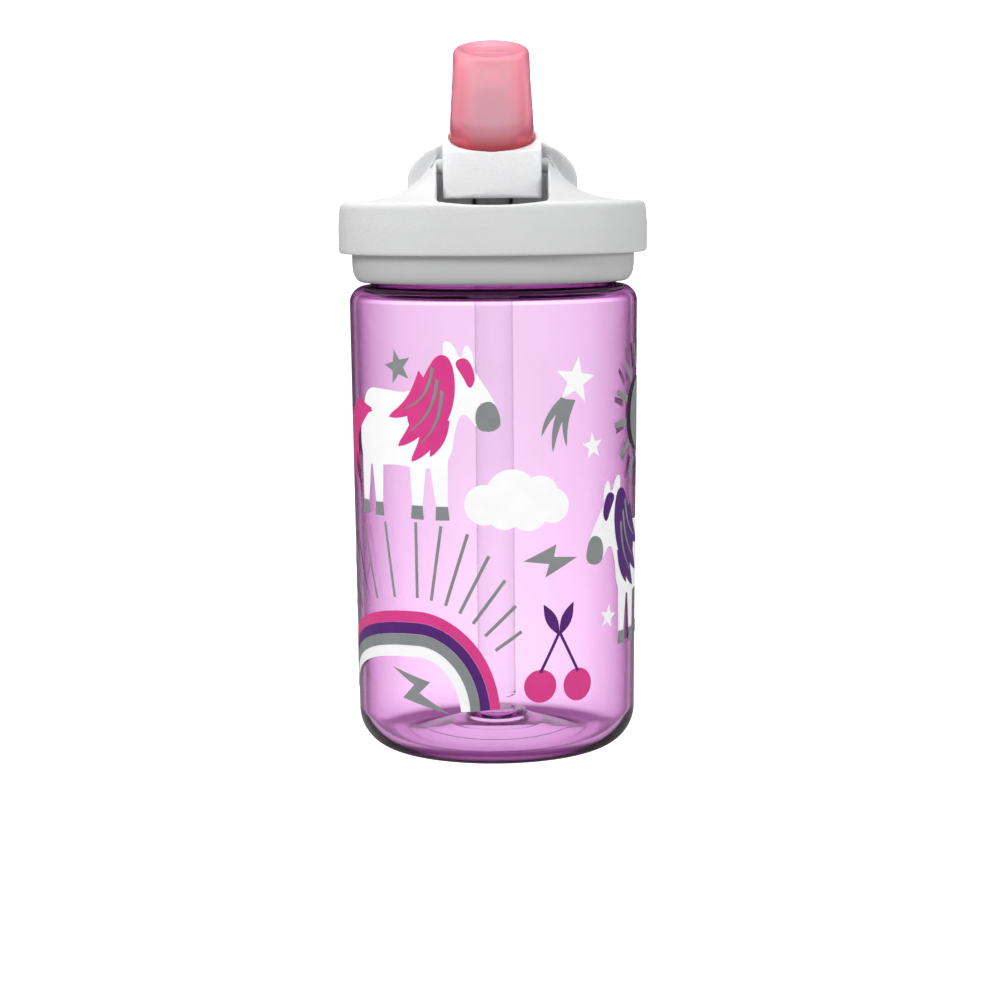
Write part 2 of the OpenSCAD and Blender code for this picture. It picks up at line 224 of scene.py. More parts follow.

# %% [markdown]
# ### Lilac copolyester
# The body is a clear tinted plastic. Its colour is in the depth of the wall, so a Volume
# Absorption shader holds the tint. The volume already deepens the tint a little where sight runs
# along the wall. Beyond that, a Layer Weight node paints shade into the tint at grazing angles,
# which gives the deep purple edges. At the heel and at the shoulder, where the wall turns edge on,
# a ramp up the height paints further shade into the tint. Slow waves from moulding are a weak bump.

# %% Make the lilac plastic
def paint_facing_shade(tree, shader, stops):
    """Paints shade into a clear plastic's colour by how steeply it is seen: 0 is face on, 1 is edge on."""
    facing = tree.nodes.new("ShaderNodeLayerWeight")
    facing.inputs["Blend"].default_value = 0.5
    ramp = tree.nodes.new("ShaderNodeValToRGB")
    for at, _ in stops[1:-1]:
        ramp.color_ramp.elements.new(at)
    ramp.color_ramp.elements[-1].position = stops[-1][0]
    for element, (_, colour) in zip(ramp.color_ramp.elements, stops):
        element.color = (*colour, 1)
    tree.links.new(facing.outputs["Facing"], ramp.inputs["Fac"])
    tree.links.new(ramp.outputs["Color"], shader.inputs["Base Color"])
    return ramp.outputs["Color"]

def band_tint(tree, coords, height, stops):
    """A colour that changes up the height; each stop is a height in mm and a colour."""
    split = tree.nodes.new("ShaderNodeSeparateXYZ")
    tree.links.new(coords, split.inputs["Vector"])
    share = tree.nodes.new("ShaderNodeMapRange")
    share.inputs["From Max"].default_value = height * MM
    tree.links.new(split.outputs["Z"], share.inputs["Value"])
    ramp = tree.nodes.new("ShaderNodeValToRGB")
    for at, _ in stops[1:-1]:
        ramp.color_ramp.elements.new(at / height)
    for element, (at, colour) in zip(ramp.color_ramp.elements, stops):
        element.position = at / height
        element.color = (*colour, 1)
    tree.links.new(share.outputs["Result"], ramp.inputs["Fac"])
    return ramp.outputs["Color"]

def multiplied(tree, first, second, target, share=None):
    mix = tree.nodes.new("ShaderNodeMix")
    mix.data_type = "RGBA"
    mix.blend_type = "MULTIPLY"
    mix.inputs["Factor"].default_value = 1
    tree.links.new(first, mix.inputs["A"])
    tree.links.new(second, mix.inputs["B"])
    tree.links.new(mix.outputs["Result"], target)
    if share:
        tree.links.new(share, mix.inputs["Factor"])

lilac, tree, shader, coords = new_finish("lilac_copolyester")
shader.inputs["Transmission Weight"].default_value = 1
shader.inputs["IOR"].default_value = 1.48
shader.inputs["Specular Tint"].default_value = (0.56, 0.26, 0.54, 1)
# Painted shade: the tint darkens to a near black purple towards grazing angles.
edge_shade = paint_facing_shade(tree, shader, ((0.0, (1, 1, 1)), (0.26, (0.98, 0.95, 0.98)), (0.50, (0.80, 0.69, 0.79)),
                                 (0.60, (0.68, 0.50, 0.66)), (0.70, (0.44, 0.24, 0.42)),
                                 (0.80, (0.07, 0.01, 0.06)), (0.92, (0.015, 0.0004, 0.012))))
# Painted shade: dark purple bands at the heel and at the shoulder, where the wall turns edge on.
clear, heel_shade, shoulder_shade = (1, 1, 1), (0.12, 0.02, 0.105), (0.30, 0.07, 0.27)
heel_shade_band = band_tint(tree, coords, neck_top, ((0, heel_shade), (2.0, heel_shade), (3.4, clear), (neck_top, clear)))
outer = tree.nodes.new("ShaderNodeVectorMath")
outer.operation = "MULTIPLY"
outer.inputs[1].default_value = (1, 1, 0)
tree.links.new(coords, outer.inputs[0])
radius = tree.nodes.new("ShaderNodeVectorMath")
radius.operation = "LENGTH"
tree.links.new(outer.outputs["Vector"], radius.inputs[0])
heel_shade_mask = tree.nodes.new("ShaderNodeMapRange")
heel_shade_mask.inputs["From Min"].default_value = 27 * MM
heel_shade_mask.inputs["From Max"].default_value = 29.5 * MM
tree.links.new(radius.outputs["Value"], heel_shade_mask.inputs["Value"])
multiplied(tree, edge_shade, heel_shade_band, shader.inputs["Base Color"], heel_shade_mask.outputs["Result"])
# Painted shade at the shoulder: alternating dark and light bands that settle into a dark band.
shoulder_shade_band = band_tint(tree, coords, neck_top, ((0, clear), (shoulder - 2.0, (0.50, 0.30, 0.48)),
                                               (shoulder - 1.6, (0.26, 0.09, 0.25)),
                                               (shoulder - 1.2, (0.60, 0.42, 0.58)), (shoulder - 0.8, shoulder_shade),
                                               (shoulder + 0.4, shoulder_shade),
                                               (shoulder + 1.6, (0.5, 0.3, 0.48)), (neck_top, clear)))
shoulder_shade_mask = band_tint(tree, coords, neck_top, ((0, (0, 0, 0)), (shoulder - 2.2, (0, 0, 0)),
                                           (shoulder - 1.9, clear), (neck_top, clear)))
blend = tree.nodes.new("ShaderNodeMix")
blend.data_type = "RGBA"
tree.links.new(shoulder_shade_mask, blend.inputs["Factor"])
tree.links.new(shader.inputs["Base Color"].links[0].from_socket, blend.inputs["A"])
tree.links.new(shoulder_shade_band, blend.inputs["B"])
tree.links.new(blend.outputs["Result"], shader.inputs["Base Color"])
between(tree, noise(tree, coords, 60), 0.012, 0.03, shader.inputs["Roughness"])
grain(tree, shader, noise(tree, coords, 35, 1), 0.03, 0.2)
tint = tree.nodes.new("ShaderNodeVolumeAbsorption")
tint.inputs["Color"].default_value = (0.61, 0.17, 0.60, 1)
tint.inputs["Density"].default_value = 300
tree.links.new(tint.outputs["Volume"], tree.nodes["Material Output"].inputs["Volume"])

# %% [markdown]
# ### White lid plastic
# The lid is white polypropylene. The mould has a spark-eroded face, which leaves a fine even
# grain and a soft sheen. Two sizes of noise make that grain, and the colour drifts very
# slightly between warm and cool white. The spout's collar gets a much brighter white than the
# lid: painted light, so that its front face reads as strongly lit.

# %% Make the white plastics
def white_plastic(name, white, grain_mm, low, high):
    material, tree, shader, coords = new_finish(name)
    darker = tuple(0.93 * white * share for share in (0.99, 1, 1.015))
    between(tree, noise(tree, coords, 28), darker, (white,) * 3, shader.inputs["Base Color"])
    between(tree, noise(tree, coords, 900, 2), low, high, shader.inputs["Roughness"])
    shader.inputs["Subsurface Weight"].default_value = 0.12
    shader.inputs["Subsurface Radius"].default_value = (1, 0.95, 0.9)
    shader.inputs["Subsurface Scale"].default_value = 0.0015
    fine = noise(tree, coords, 1900, 2, 0.6)
    coarse = noise(tree, coords, 800, 1)
    both = tree.nodes.new("ShaderNodeMath")
    both.operation = "ADD"
    tree.links.new(fine, both.inputs[0])
    tree.links.new(coarse, both.inputs[1])
    grain(tree, shader, both.outputs[0], 0.8, grain_mm)
    return material

lid_textured = white_plastic("white_spark_texture", 0.66, 0.12, 0.42, 0.55)
lid_satin = white_plastic("white_satin", 0.53, 0.03, 0.33, 0.42)
# Painted light: the collar's white is set far brighter than the lid's so that its face reads as lit.
collar_painted_light = white_plastic("white_spark_texture_painted_light", 0.95, 0.2, 0.4, 0.52)

# %% [markdown]
# ### Silicone
# The bite valve is soft pink silicone: light goes in, scatters and comes out again, so it
# glows a little where it is thin. It is part transmission and part subsurface scattering. A
# ramp up the valve darkens its foot: partly the deeper colour of the thick, solid foot and partly
# painted shade from the collar's cup around it. A Layer Weight node paints shade towards its
# edges, which leaves a painted highlight down its face-on middle. The seals are the same stuff
# without the colour.

# %% Make the silicones and the straw plastic
def silicone(name, low, high, transmission, scatter, ior, rough, pebble=0.15):
    material, tree, shader, coords = new_finish(name)
    between(tree, noise(tree, coords, 90), low, high, shader.inputs["Base Color"])
    between(tree, noise(tree, coords, 500, 2), rough - 0.05, rough + 0.05, shader.inputs["Roughness"])
    shader.inputs["Transmission Weight"].default_value = transmission
    shader.inputs["IOR"].default_value = ior
    shader.inputs["Subsurface Weight"].default_value = scatter
    shader.inputs["Subsurface Radius"].default_value = (1, 0.45, 0.4)
    shader.inputs["Subsurface Scale"].default_value = 0.004
    grain(tree, shader, noise(tree, coords, 300, 2), pebble, 0.01)
    return material

bite_pink = silicone("pink_silicone", (0.98, 0.57, 0.65), (0.99, 0.61, 0.69), 0.50, 0.8, 1.36, 0.16)
tree = bite_pink.node_tree
shader = tree.nodes["Principled BSDF"]
drift = shader.inputs["Base Color"].links[0].from_socket
# Painted shade towards the valve's edges, which leaves a painted highlight down its face-on middle.
edge_shade = paint_facing_shade(tree, shader, ((0.0, (1, 1, 1)), (0.10, (1, 0.98, 0.98)), (0.30, (0.98, 0.70, 0.76)),
                                 (0.7, (0.96, 0.62, 0.70))))
multiplied(tree, drift, edge_shade, shader.inputs["Base Color"])
upright = tree.nodes.new("ShaderNodeMapping")
upright.inputs["Rotation"].default_value = (-LEAN, 0, 0)
upright.inputs["Location"].default_value = -(Matrix.Rotation(-LEAN, 3, "X") @ pivot) * MM
tree.links.new(tree.nodes["Texture Coordinate"].outputs["Object"], upright.inputs["Vector"])
# Darker towards the foot: partly the thick foot's deeper colour, partly painted shade from the collar's cup.
foot_depth_and_shade = band_tint(tree, upright.outputs["Vector"], 40, ((0, (0.6, 0.18, 0.21)), (8.0, (0.66, 0.2, 0.24)),
                                                            (11.5, (0.9, 0.72, 0.75)),
                                                            (14.0, (1, 1, 1)), (40, (1, 1, 1))))
multiplied(tree, shader.inputs["Base Color"].links[0].from_socket, foot_depth_and_shade, shader.inputs["Base Color"])
seal_clear = silicone("clear_silicone", (0.84, 0.82, 0.86), (0.92, 0.90, 0.93), 0.5, 0.4, 1.41, 0.35)
straw_soft = silicone("straw_polypropylene", (0.95, 0.92, 0.96), (0.97, 0.95, 0.98), 0.97, 0, 1.2, 0.1, 0.01)
tree = straw_soft.node_tree
# Painted shade: the straw's colour darkens towards its edges, where it is seen edge on.
paint_facing_shade(tree, tree.nodes["Principled BSDF"], ((0.0, (0.97, 0.96, 0.98)), (0.5, (0.86, 0.84, 0.87)),
                                                (0.9, (0.45, 0.42, 0.46))))

# %% [markdown]
# ### Printing inks
# The artwork is screen printed: a thin opaque film with a satin face. A little noise in the
# colour and the roughness keeps it from looking like a flat fill.

# %% Make the inks
def ink(name, low, high):
    material, tree, shader, coords = new_finish(name)
    between(tree, noise(tree, coords, 220, 4), low, high, shader.inputs["Base Color"])
    between(tree, noise(tree, coords, 1400, 2), 0.34, 0.5, shader.inputs["Roughness"])
    grain(tree, shader, noise(tree, coords, 2200, 2), 0.3, 0.01)
    return material

ink_white = ink("ink_white", (0.95, 0.95, 0.96), (0.99, 0.99, 0.99))
ink_magenta = ink("ink_magenta", (0.68, 0.036, 0.235), (0.73, 0.045, 0.265))
ink_purple = ink("ink_purple", (0.075, 0.009, 0.156), (0.091, 0.0125, 0.188))
ink_grey = ink("ink_grey", (0.228, 0.243, 0.243), (0.26, 0.275, 0.275))

# %% [markdown]
# ## The body
# On the real bottle this is one blow-moulded piece: a pushed-up base so that it stands on a
# ring, a side that tapers slightly, a small round shoulder and a neck. The wall is real, with
# an inside and an outside, because a clear piece shows both. It is drawn as one closed
# outline and spun.

# %% Turn the body
wall = 1.5
corner_r, shoulder_r = 10, 4.4
top_r = body_high.x
base_r = top_r - 1
rise = (top_r - base_r) / (shoulder - shoulder_r - corner_r)
neck_r, mouth_r = 31.5, 29.3

def side_r(z):
    return base_r + (z - corner_r) * rise

stand_r = side_r(0) - corner_r - 2
outline = [(0, 7.0), (4.5, 7.0), (5.2, 6.6), (6.6, 6.6), (7.4, 5.7), (8.2, 5.5), (11.4, 4.45), (11.9, 4.6),
           (12.4, 4.1),
           (18.6, 2.05), (19.1, 2.2), (19.6, 1.75), (stand_r - 1.2, 0.55)]
outline += arc(stand_r, 0.5, 0.5, 200, 270, 4)
outline += arc(side_r(10) - corner_r, corner_r, corner_r, -88, -1, 18)
outline += arc(side_r(shoulder) - shoulder_r, shoulder - shoulder_r, shoulder_r, 0, 88, 14)
outline += arc(neck_r + 0.5, shoulder + 0.5, 0.5, 270, 180, 4)
outline += arc(neck_r - 0.7, neck_top - 0.7, 0.7, 0, 90, 5)
outline += arc(mouth_r + 0.5, neck_top - 0.5, 0.5, 90, 180, 4)
outline += arc(mouth_r + 0.8, shoulder - 0.6, 0.8, 180, 250, 4)
outline += arc(side_r(shoulder) - shoulder_r, shoulder - shoulder_r, shoulder_r - wall, 88, 0, 12)
outline += arc(side_r(10) - corner_r, corner_r + 0.9, corner_r - wall, -1, -80, 16)
outline += [(stand_r + 0.6, 2.7), (stand_r - 0.6, 2.85), (20, 3.9), (12, 6.25), (8.4, 7.5)]
outline += arc(6.2, 7.2, 1.9, 15, 90, 6) + [(3, 9.05), (0, 9.1)]
body = turned("bottle_body", outline, steps=192)

# %% [markdown]
# The neck carries a single raised thread. A short profile is swept up the neck by a Screw
# modifier, a little over one turn, and its ends are tucked into the wall.

# %% Sweep the neck thread
def thread(name, wall_r, out, start_z, turns, start_angle, pitch=5.0):
    tooth = [(wall_r - 0.3 * out, -1.05), (wall_r + 1.1 * out, -0.45), (wall_r + 1.1 * out, 0.45),
             (wall_r - 0.3 * out, 1.05)]
    ridge = draw_chain(name, tooth, lambda r, z: (r, 0, start_z + z))
    bpy.ops.mesh.edge_face_add()
    bpy.ops.object.mode_set(mode="OBJECT")
    only(ridge)
    mod = ridge.modifiers.new("sweep", "SCREW")
    mod.angle = 2 * math.pi * turns
    mod.screw_offset = pitch * turns * MM
    mod.steps = mod.render_steps = int(90 * turns)
    mod.use_merge_vertices = True
    bpy.ops.object.modifier_apply(modifier=mod.name)
    bpy.ops.object.mode_set(mode="EDIT")
    bpy.ops.mesh.select_all(action="SELECT")
    bpy.ops.transform.rotate(value=-start_angle, orient_axis="Z", center_override=(0, 0, 0))
    bpy.ops.mesh.normals_make_consistent(inside=False)
    bpy.ops.object.mode_set(mode="OBJECT")
    return ridge

neck_thread = thread("neck_thread", neck_r, 1, shoulder + 3.6, 1.2, 0)
for piece in (body, neck_thread):
    smooth_shade(piece)
finish_piece(body, "bottle", lilac, ["bottle"])
finish_piece(neck_thread, "bottle", lilac)

# %% [markdown]
# ## The printed artwork
# The front of the body is screen printed with plain, friendly motifs: two ponies, a rainbow
# with rays, a cloud, a sun, stars, lightning bolts and cherries, in white, magenta, purple and
# grey. Each motif is drawn flat, as on a printer's film: the first number is the distance round
# the body from its front line and the second is the height. Each ink is one thin layer.

# %% A flat film for each ink
films = {}

def print_shape(colour, points):
    """Adds a flat shape to an ink's film; a Boolean melts it into what it overlaps."""
    piece = plate("print_" + colour, points, lambda u, z: (u, 0, z), (0, 1, 0))
    if colour in films:
        join_with(films[colour], piece, "UNION")
    else:
        films[colour] = piece

def rounded(points, rounds=3):
    """Cuts the corners of a rough outline again and again, which leaves a smooth curve."""
    for _ in range(rounds):
        cut = []
        for (x0, y0), (x1, y1) in zip(points, points[1:] + points[:1]):
            cut += [(0.75 * x0 + 0.25 * x1, 0.75 * y0 + 0.25 * y1),
                    (0.25 * x0 + 0.75 * x1, 0.25 * y0 + 0.75 * y1)]
        points = cut
    return points

def placed(points, at, scale=1.0, turn=0.0, mirror=1):
    c, s = math.cos(math.radians(turn)), math.sin(math.radians(turn))
    return [(at[0] + mirror * scale * (x * c - y * s), at[1] + scale * (x * s + y * c)) for x, y in points]

def disc(cx, cy, r, squash=1.0, turn=0.0, steps=28):
    return placed([(r * math.cos(2 * math.pi * i / steps), r * squash * math.sin(2 * math.pi * i / steps))
                   for i in range(steps)], (cx, cy), 1, turn)

def star(r, waist=0.42):
    spots = []
    for i in range(10):
        reach = r if i % 2 == 0 else r * waist
        a = math.radians(90 + 36 * i)
        spots.append((reach * math.cos(a), reach * math.sin(a)))
    return spots

def bar(x0, y0, x1, y1, w0, w1=None):
    """A straight bar between two points, w0 wide at the first and w1 at the second."""
    w1 = w0 if w1 is None else w1
    length = math.hypot(x1 - x0, y1 - y0)
    nx, ny = -(y1 - y0) / length / 2, (x1 - x0) / length / 2
    return [(x0 + nx * w0, y0 + ny * w0), (x0 - nx * w0, y0 - ny * w0), (x1 - nx * w1, y1 - ny * w1),
            (x1 + nx * w1, y1 + ny * w1)]

def crescent(x0, y0, x1, y1, bulge, width, steps=10):
    """A curved lock from a wide start to a pointed end."""
    length = math.hypot(x1 - x0, y1 - y0)
    tx, ty = (x1 - x0) / length, (y1 - y0) / length
    upper, lower = [], []
    for i in range(steps + 1):
        t = i / steps
        sag = bulge * math.sin(math.pi * t)
        half = width / 2 * (1 - t) ** 0.6
        for side, line in ((1, upper), (-1, lower)):
            offset = sag + side * half
            line.append((x0 + tx * length * t - ty * offset, y0 + ty * length * t + tx * offset))
    return upper[:-1] + [(x1, y1)] + lower[-2::-1]

print("a star has", len(star(1)), "points and a disc has", len(disc(0, 0, 1)))

# %% [markdown]
# The pony is a plain silhouette: one rounded outline for the body, neck and head, four straight
# legs with hooves, and a mane and tail of curved locks. The second one is the same drawing,
# facing the other way, with a purple mane and a tail that hangs closer.

# %% Draw the ponies
def pony(at, scale, mirror, mane, reach):
    def put(colour, points):
        print_shape(colour, placed(points, at, scale, 0, mirror))
    put("white", rounded([(-14.5, 6.0), (-11.5, 12.4), (-3, 12.0), (3.5, 11.4), (8.5, 13.4), (12.0, 20.6),
                          (17.5, 21.8), (21.8, 17.4), (27.4, 8.8), (28.2, 3.6), (23.2, 2.0),
                          (19.2, 7.6), (17.0, 3.5), (15.6, -6.0),
                          (8, -7.4), (0, -6.4), (-8, -7.2), (-14.8, -7.0), (-16.4, 0.0)]))
    for x, lean in ((-12.6, -0.8), (-7.4, 0.6), (6.8, -0.4), (12.4, 0.9)):
        put("white", bar(x, -4, x + lean, -16.6, 5.2, 3.0))
        put("grey", bar(x + lean, -16.4, x + lean * 1.1, -19.8, 3.2, 3.8))
    put("white", rounded([(14.6, 18.0), (13.8, 24.6), (16.8, 24.0), (18.6, 18.6)], 2))
    put("white", rounded([(18.4, 18.0), (19.6, 24.2), (21.8, 21.6), (21.6, 15.8)], 2))
    put("grey", rounded([(23.2, 9.4), (26.8, 9.8), (28.6, 4.2), (26.6, 2.2), (22.6, 2.4), (21.8, 6.2)]))
    put(mane, rounded([(9.6, 17.0), (12.6, 21.4), (16.2, 20.4), (17.4, 13.0), (15.8, 5.6), (11.6, 0.4),
                       (6.0, 0.8), (3.0, 6.0), (6.6, 11.6)]))
    for x0, y0, x1, y1, bulge, width in ((9.4, 14.6, -2.4, 5.2, 2.0, 6.4), (9.6, 10.6, 0.6, -2.0, 2.0, 7.0),
                                         (10.8, 6.0, 4.8, -5.6, 1.6, 6.6), (13.2, 5.6, 10.2, -4.2, 1.0, 5.0)):
        put(mane, crescent(x0, y0, x1, y1, bulge, width))
    put(mane, rounded([(16.6, 19.4), (20.2, 20.8), (22.4, 15.6), (20.8, 12.2), (19.0, 15.8)], 2))
    for x0, y0, x1, y1, bulge in ((11.4, 17.8, 2.0, 7.0, 2.4), (12.6, 15.0, 3.8, 1.4, 2.2),
                                  (13.8, 12.2, 7.2, -1.6, 1.8)):
        put("grey", crescent(x0, y0, x1, y1, bulge, 1.1))
    for x1, y1, bulge, width in ((-21.6, -12.0, -7.4, 7.0), (-19.2, -16.0, -5.8, 6.0),
                                 (-17.4, -8.4, -4.6, 5.0)):
        put(mane, crescent(-12.2, 7.8, x1 * reach, y1, bulge * reach, width))

pony((-26.6, 82.6), 1.0, 1, "magenta", 1)
pony((52.0, 48.2), 0.98, -1, "purple", 0.72)
print("white film has", len(films["white"].data.polygons), "faces")

# %% Draw the sky: stars, comet, cloud, sun
print_shape("grey", placed(star(4.5), (-25.6, 100.4), 1, 14))
print_shape("white", placed(star(6.0), (21.2, 96.8), 1, -8))
print_shape("white", placed(star(3.5), (26.6, 80.2), 1, 6))
print_shape("white", placed(star(3.3), (32.6, 36.6), 1, -10))
for x1, y1, width in ((11.6, 83.4, 2.6), (14.6, 79.4, 3.0), (18.4, 80.6, 2.6)):
    print_shape("grey", crescent(18.9 + (x1 - 15) * 0.25, 92.2, x1, y1, -1.0, width))
for cx, cy, r in ((-2.6, 66.8, 5.0), (4.2, 69.0, 6.6), (11.2, 68.9, 5.0), (14.8, 66.2, 4.3),
                  (8.4, 65.2, 5.0), (2.4, 65.0, 4.4)):
    print_shape("white", disc(cx, cy, r))
sun_u, sun_z = 54.0, 86.5
print_shape("grey", disc(sun_u, sun_z, 9.6))
for i in range(14):
    ray_u, ray_z = math.cos(2 * math.pi * i / 14 + 0.1), math.sin(2 * math.pi * i / 14 + 0.1)
    print_shape("grey", bar(sun_u + 12.6 * ray_u, sun_z + 12.6 * ray_z, sun_u + 19 * ray_u,
                            sun_z + 19 * ray_z, 1.9, 1.5))

# %% Draw the rainbow, the bolts and the cherries
arch_u, arch_z, arch_h = -20.5, 14.0, 25.6
arch_right, arch_left = 21.4, 43.0
band_w, band_h = 2.5, 2.9

def arch_at(grow_w, grow_h, degrees):
    """A point on a lopsided arch: its left half is wider, and runs on round the side."""
    a = math.radians(degrees)
    half = arch_right if degrees < 90 else arch_left
    return arch_u + (half + grow_w) * math.cos(a), arch_z + (arch_h + grow_h) * math.sin(a)

for i, colour in enumerate(("magenta", "purple", "grey", "white")):
    over = [arch_at(-band_w * i, -band_h * i, 4 + 4.3 * step) for step in range(41)]
    under = [arch_at(-band_w * (i + 1) + 0.03, -band_h * (i + 1) + 0.03,
                     4 + 4.3 * step) for step in range(41)]
    print_shape(colour, over + under[::-1])
for i in range(12):
    degrees = 35 + 9.2 * i
    length = 8 + 11 * min(1, i / 4)
    print_shape("grey", bar(*arch_at(3.4, 3.4, degrees), *arch_at(3.4 + length, 3.4 + length, degrees), 0.85))
bolt = [(-1.0, 0.22), (0.3, 0.5), (0.12, 0.1), (1.0, -0.16), (-0.35, -0.52), (-0.1, -0.1)]
print_shape("grey", placed(bolt, (14.2, 52.6), 7.2, 12))
bolt = [(-0.9, 0.56), (0.42, 0.24), (0.07, -0.09), (1.0, -0.6), (-0.5, -0.27), (-0.1, 0.12)]
print_shape("grey", placed(bolt, (-21.2, 19.8), 9.2, 0))
for cx, cy in ((11.2, 21.2), (21.8, 20.8)):
    print_shape("magenta", disc(cx, cy, 4.3, 0.97))
    print_shape("purple", bar(cx, cy + 3.4, 16.4, 34.5, 0.8))
for turn in (118, 64):
    leaf = [(9.2 * t, 1.5 * math.sin(math.pi * t)) for t in [i / 8 for i in range(9)]]
    leaf += [(9.2 * t, -1.5 * math.sin(math.pi * t)) for t in [i / 8 for i in range(7, 0, -1)]]
    print_shape("purple", placed(leaf, (16.4, 33.6), 1, turn))
print("inks:", {colour: len(film.data.polygons) for colour, film in films.items()})

# %% [markdown]
# Now the films go onto the bottle. Each is cut into upright strips 2 mm wide by bisecting, so
# that it can follow the round wall. Then each point is carried from the flat film to the wall:
# its distance round becomes an angle, the wall's slight taper sets how far out it sits, and the
# film's depth of 1 mm shrinks to the thickness of a coat of ink. A Bend modifier would do on a
# straight wall, but not on a tapered one.

# %% Wrap the films round the body
wrap_r = 36.4
coat = 0.025

def wrap(piece, lift):
    for vertex in piece.data.vertices:
        u, depth, z = vertex.co / MM
        reach, angle = side_r(z) + lift + coat * (1 - depth), u / wrap_r
        vertex.co = Vector((reach * math.sin(angle), -reach * math.cos(angle), z)) * MM

inks = {"white": (ink_white, 0.03), "magenta": (ink_magenta, 0.065), "purple": (ink_purple, 0.10),
        "grey": (ink_grey, 0.135)}
for colour, (material, lift) in inks.items():
    film = films[colour]
    only(film)
    bpy.ops.object.transform_apply(location=True, rotation=True, scale=True)
    bpy.ops.object.mode_set(mode="EDIT")
    for i in range(-36, 37):
        bpy.ops.mesh.select_all(action="SELECT")
        bpy.ops.mesh.bisect(plane_co=(2 * i * MM, 0, 0), plane_no=(1, 0, 0))
    bpy.ops.mesh.select_all(action="SELECT")
    bpy.ops.mesh.quads_convert_to_tris()
    bpy.ops.mesh.remove_doubles(threshold=2e-6)
    bpy.ops.object.mode_set(mode="OBJECT")
    wrap(film, lift)
    smooth_shade(film, 40)
    finish_piece(film, "bottle", material)

# %% [markdown]
# ## The screw part of the lid
# Under the white skirt shows a rounded ring. It is the lower end of the screw part, which also
# closes the neck with a plate and carries the tube that feeds the spout. It is turned as one
# outline, and the tube and the straw's socket are turned about their own axis behind.

# %% Turn the ring and its plate
ring_r, ring_bottom = 36.1, core_low.z
bore_r = neck_r + 1.7
plate_z = gasket_high.z
skirt_in = ring_r + 1.2
outline = [(ring_r - 2.6 + 2.6 * math.cos(a), ring_bottom + 4.6 + 4.6 * math.sin(a))
           for a in [math.radians(-80 + 80 * i / 12) for i in range(13)]]
outline += [(ring_r, skirt_bottom + 0.6), (skirt_in - 0.2, skirt_bottom + 0.6),
            (skirt_in - 0.2, skirt_bottom + 2)]
outline += [(ring_r, skirt_bottom + 2)] + arc(ring_r - 0.8, plate_top - 0.8, 0.8, 0, 90, 4)
outline += [(0, plate_top), (0, plate_z), (27.1, plate_z), (27.1, plate_z - 4.1)]
outline += arc(27.8, plate_z - 4.1, 0.7, 180, 360, 6)
outline += [(28.5, plate_z), (bore_r, plate_z), (bore_r, ring_bottom + 0.6)]
core = turned("lid_core", outline + outline[:1])
riser_x, riser_y = 0, (straw_low.y + straw_high.y) / 2
tube = [(5, plate_z - 2)] + [(5, plate_z - 10.4), (5.6, plate_z - 11), (6.1, plate_z - 11),
                             (6.6, plate_z - 10.5), (6.6, plate_z + 0.4)]
tube += [(4.6, plate_top), (4.6, core_high.z - 1)]
tube += arc(3.6, core_high.z - 1, 1, 0, 90, 5) + [(0, core_high.z)]
tube += [(0, core_high.z - 1.2), (2.75, core_high.z - 1.2), (2.75, plate_z - 2), (5, plate_z - 2)]
socket = turned("straw_socket", tube, steps=72, centre=(riser_x, riser_y))
lid_thread = thread("lid_thread", bore_r, -1, shoulder + 3.6 + 5 * (130 / 360 - 0.5), 1.2, math.radians(130))
only(core)
socket.select_set(True)
lid_thread.select_set(True)
bpy.ops.object.join()
smooth_shade(core)
finish_piece(core, "lid", lid_satin, ["cap_core"])

# %% [markdown]
# ## The outer part of the lid
# This is one moulding: a skirt for the hand, a deck, two shoulders that flare up to hold the
# spout, and a carrying loop behind. The skirt, the deck and the flare are turned together. The
# slot for the spout and the scoop in front of it are cut away. The loop is a plate with a
# round-ended finger hole, cut to an arch seen from the front. At the end the whole piece is
# remeshed and relaxed, because on the real lid every edge is rounded and the surfaces run
# into each other.

# %% Turn the skirt, deck and flare
top_round = 1.6
outline = [(0, plate_top + 0.05), (ring_r + 0.1, plate_top + 0.05), (skirt_in, plate_top - 1.5),
           (skirt_in, skirt_bottom + 0.3)]
outline += arc(skirt_r - 1.0, skirt_bottom + 0.5, 0.5, 250, 300, 3)
outline += arc(skirt_r - 0.75, skirt_bottom + 0.8, 0.75, -60, 20, 5)
outline += [(skirt_r - 0.12, skirt_bottom + 1.5), (skirt_r, skirt_bottom + 2.4), (skirt_r, deck - 6)]
outline += arc(skirt_r - 0.35 - top_round, deck - top_round, top_round, 4, 90, 10)
flare = [(r, deck - 0.3 + 12.9 * math.exp(-(r - 14) / 5.8)) for r in [34 - 0.8 * i for i in range(28)]]
outline += [(35, deck + 0.02)] + [(r, z) for r, z in flare if z > deck + 0.05]
outline += [(0, flare[-1][1])]
shell = turned("lid_shell", outline)
print("flare top", round(flare[-1][1] - deck, 1), "mm above the deck")

# %% [markdown]
# The loop is drawn from the side, as a bar with a round back, and pulled out to its full
# width. An arch seen from the front and the round of the lid seen from above then trim it. The
# finger hole goes right through, and opens out like a bell at both mouths so that no edge is
# left as thin as a knife. The shell is remeshed before the mouths are cut, because a Boolean
# works best on even faces.

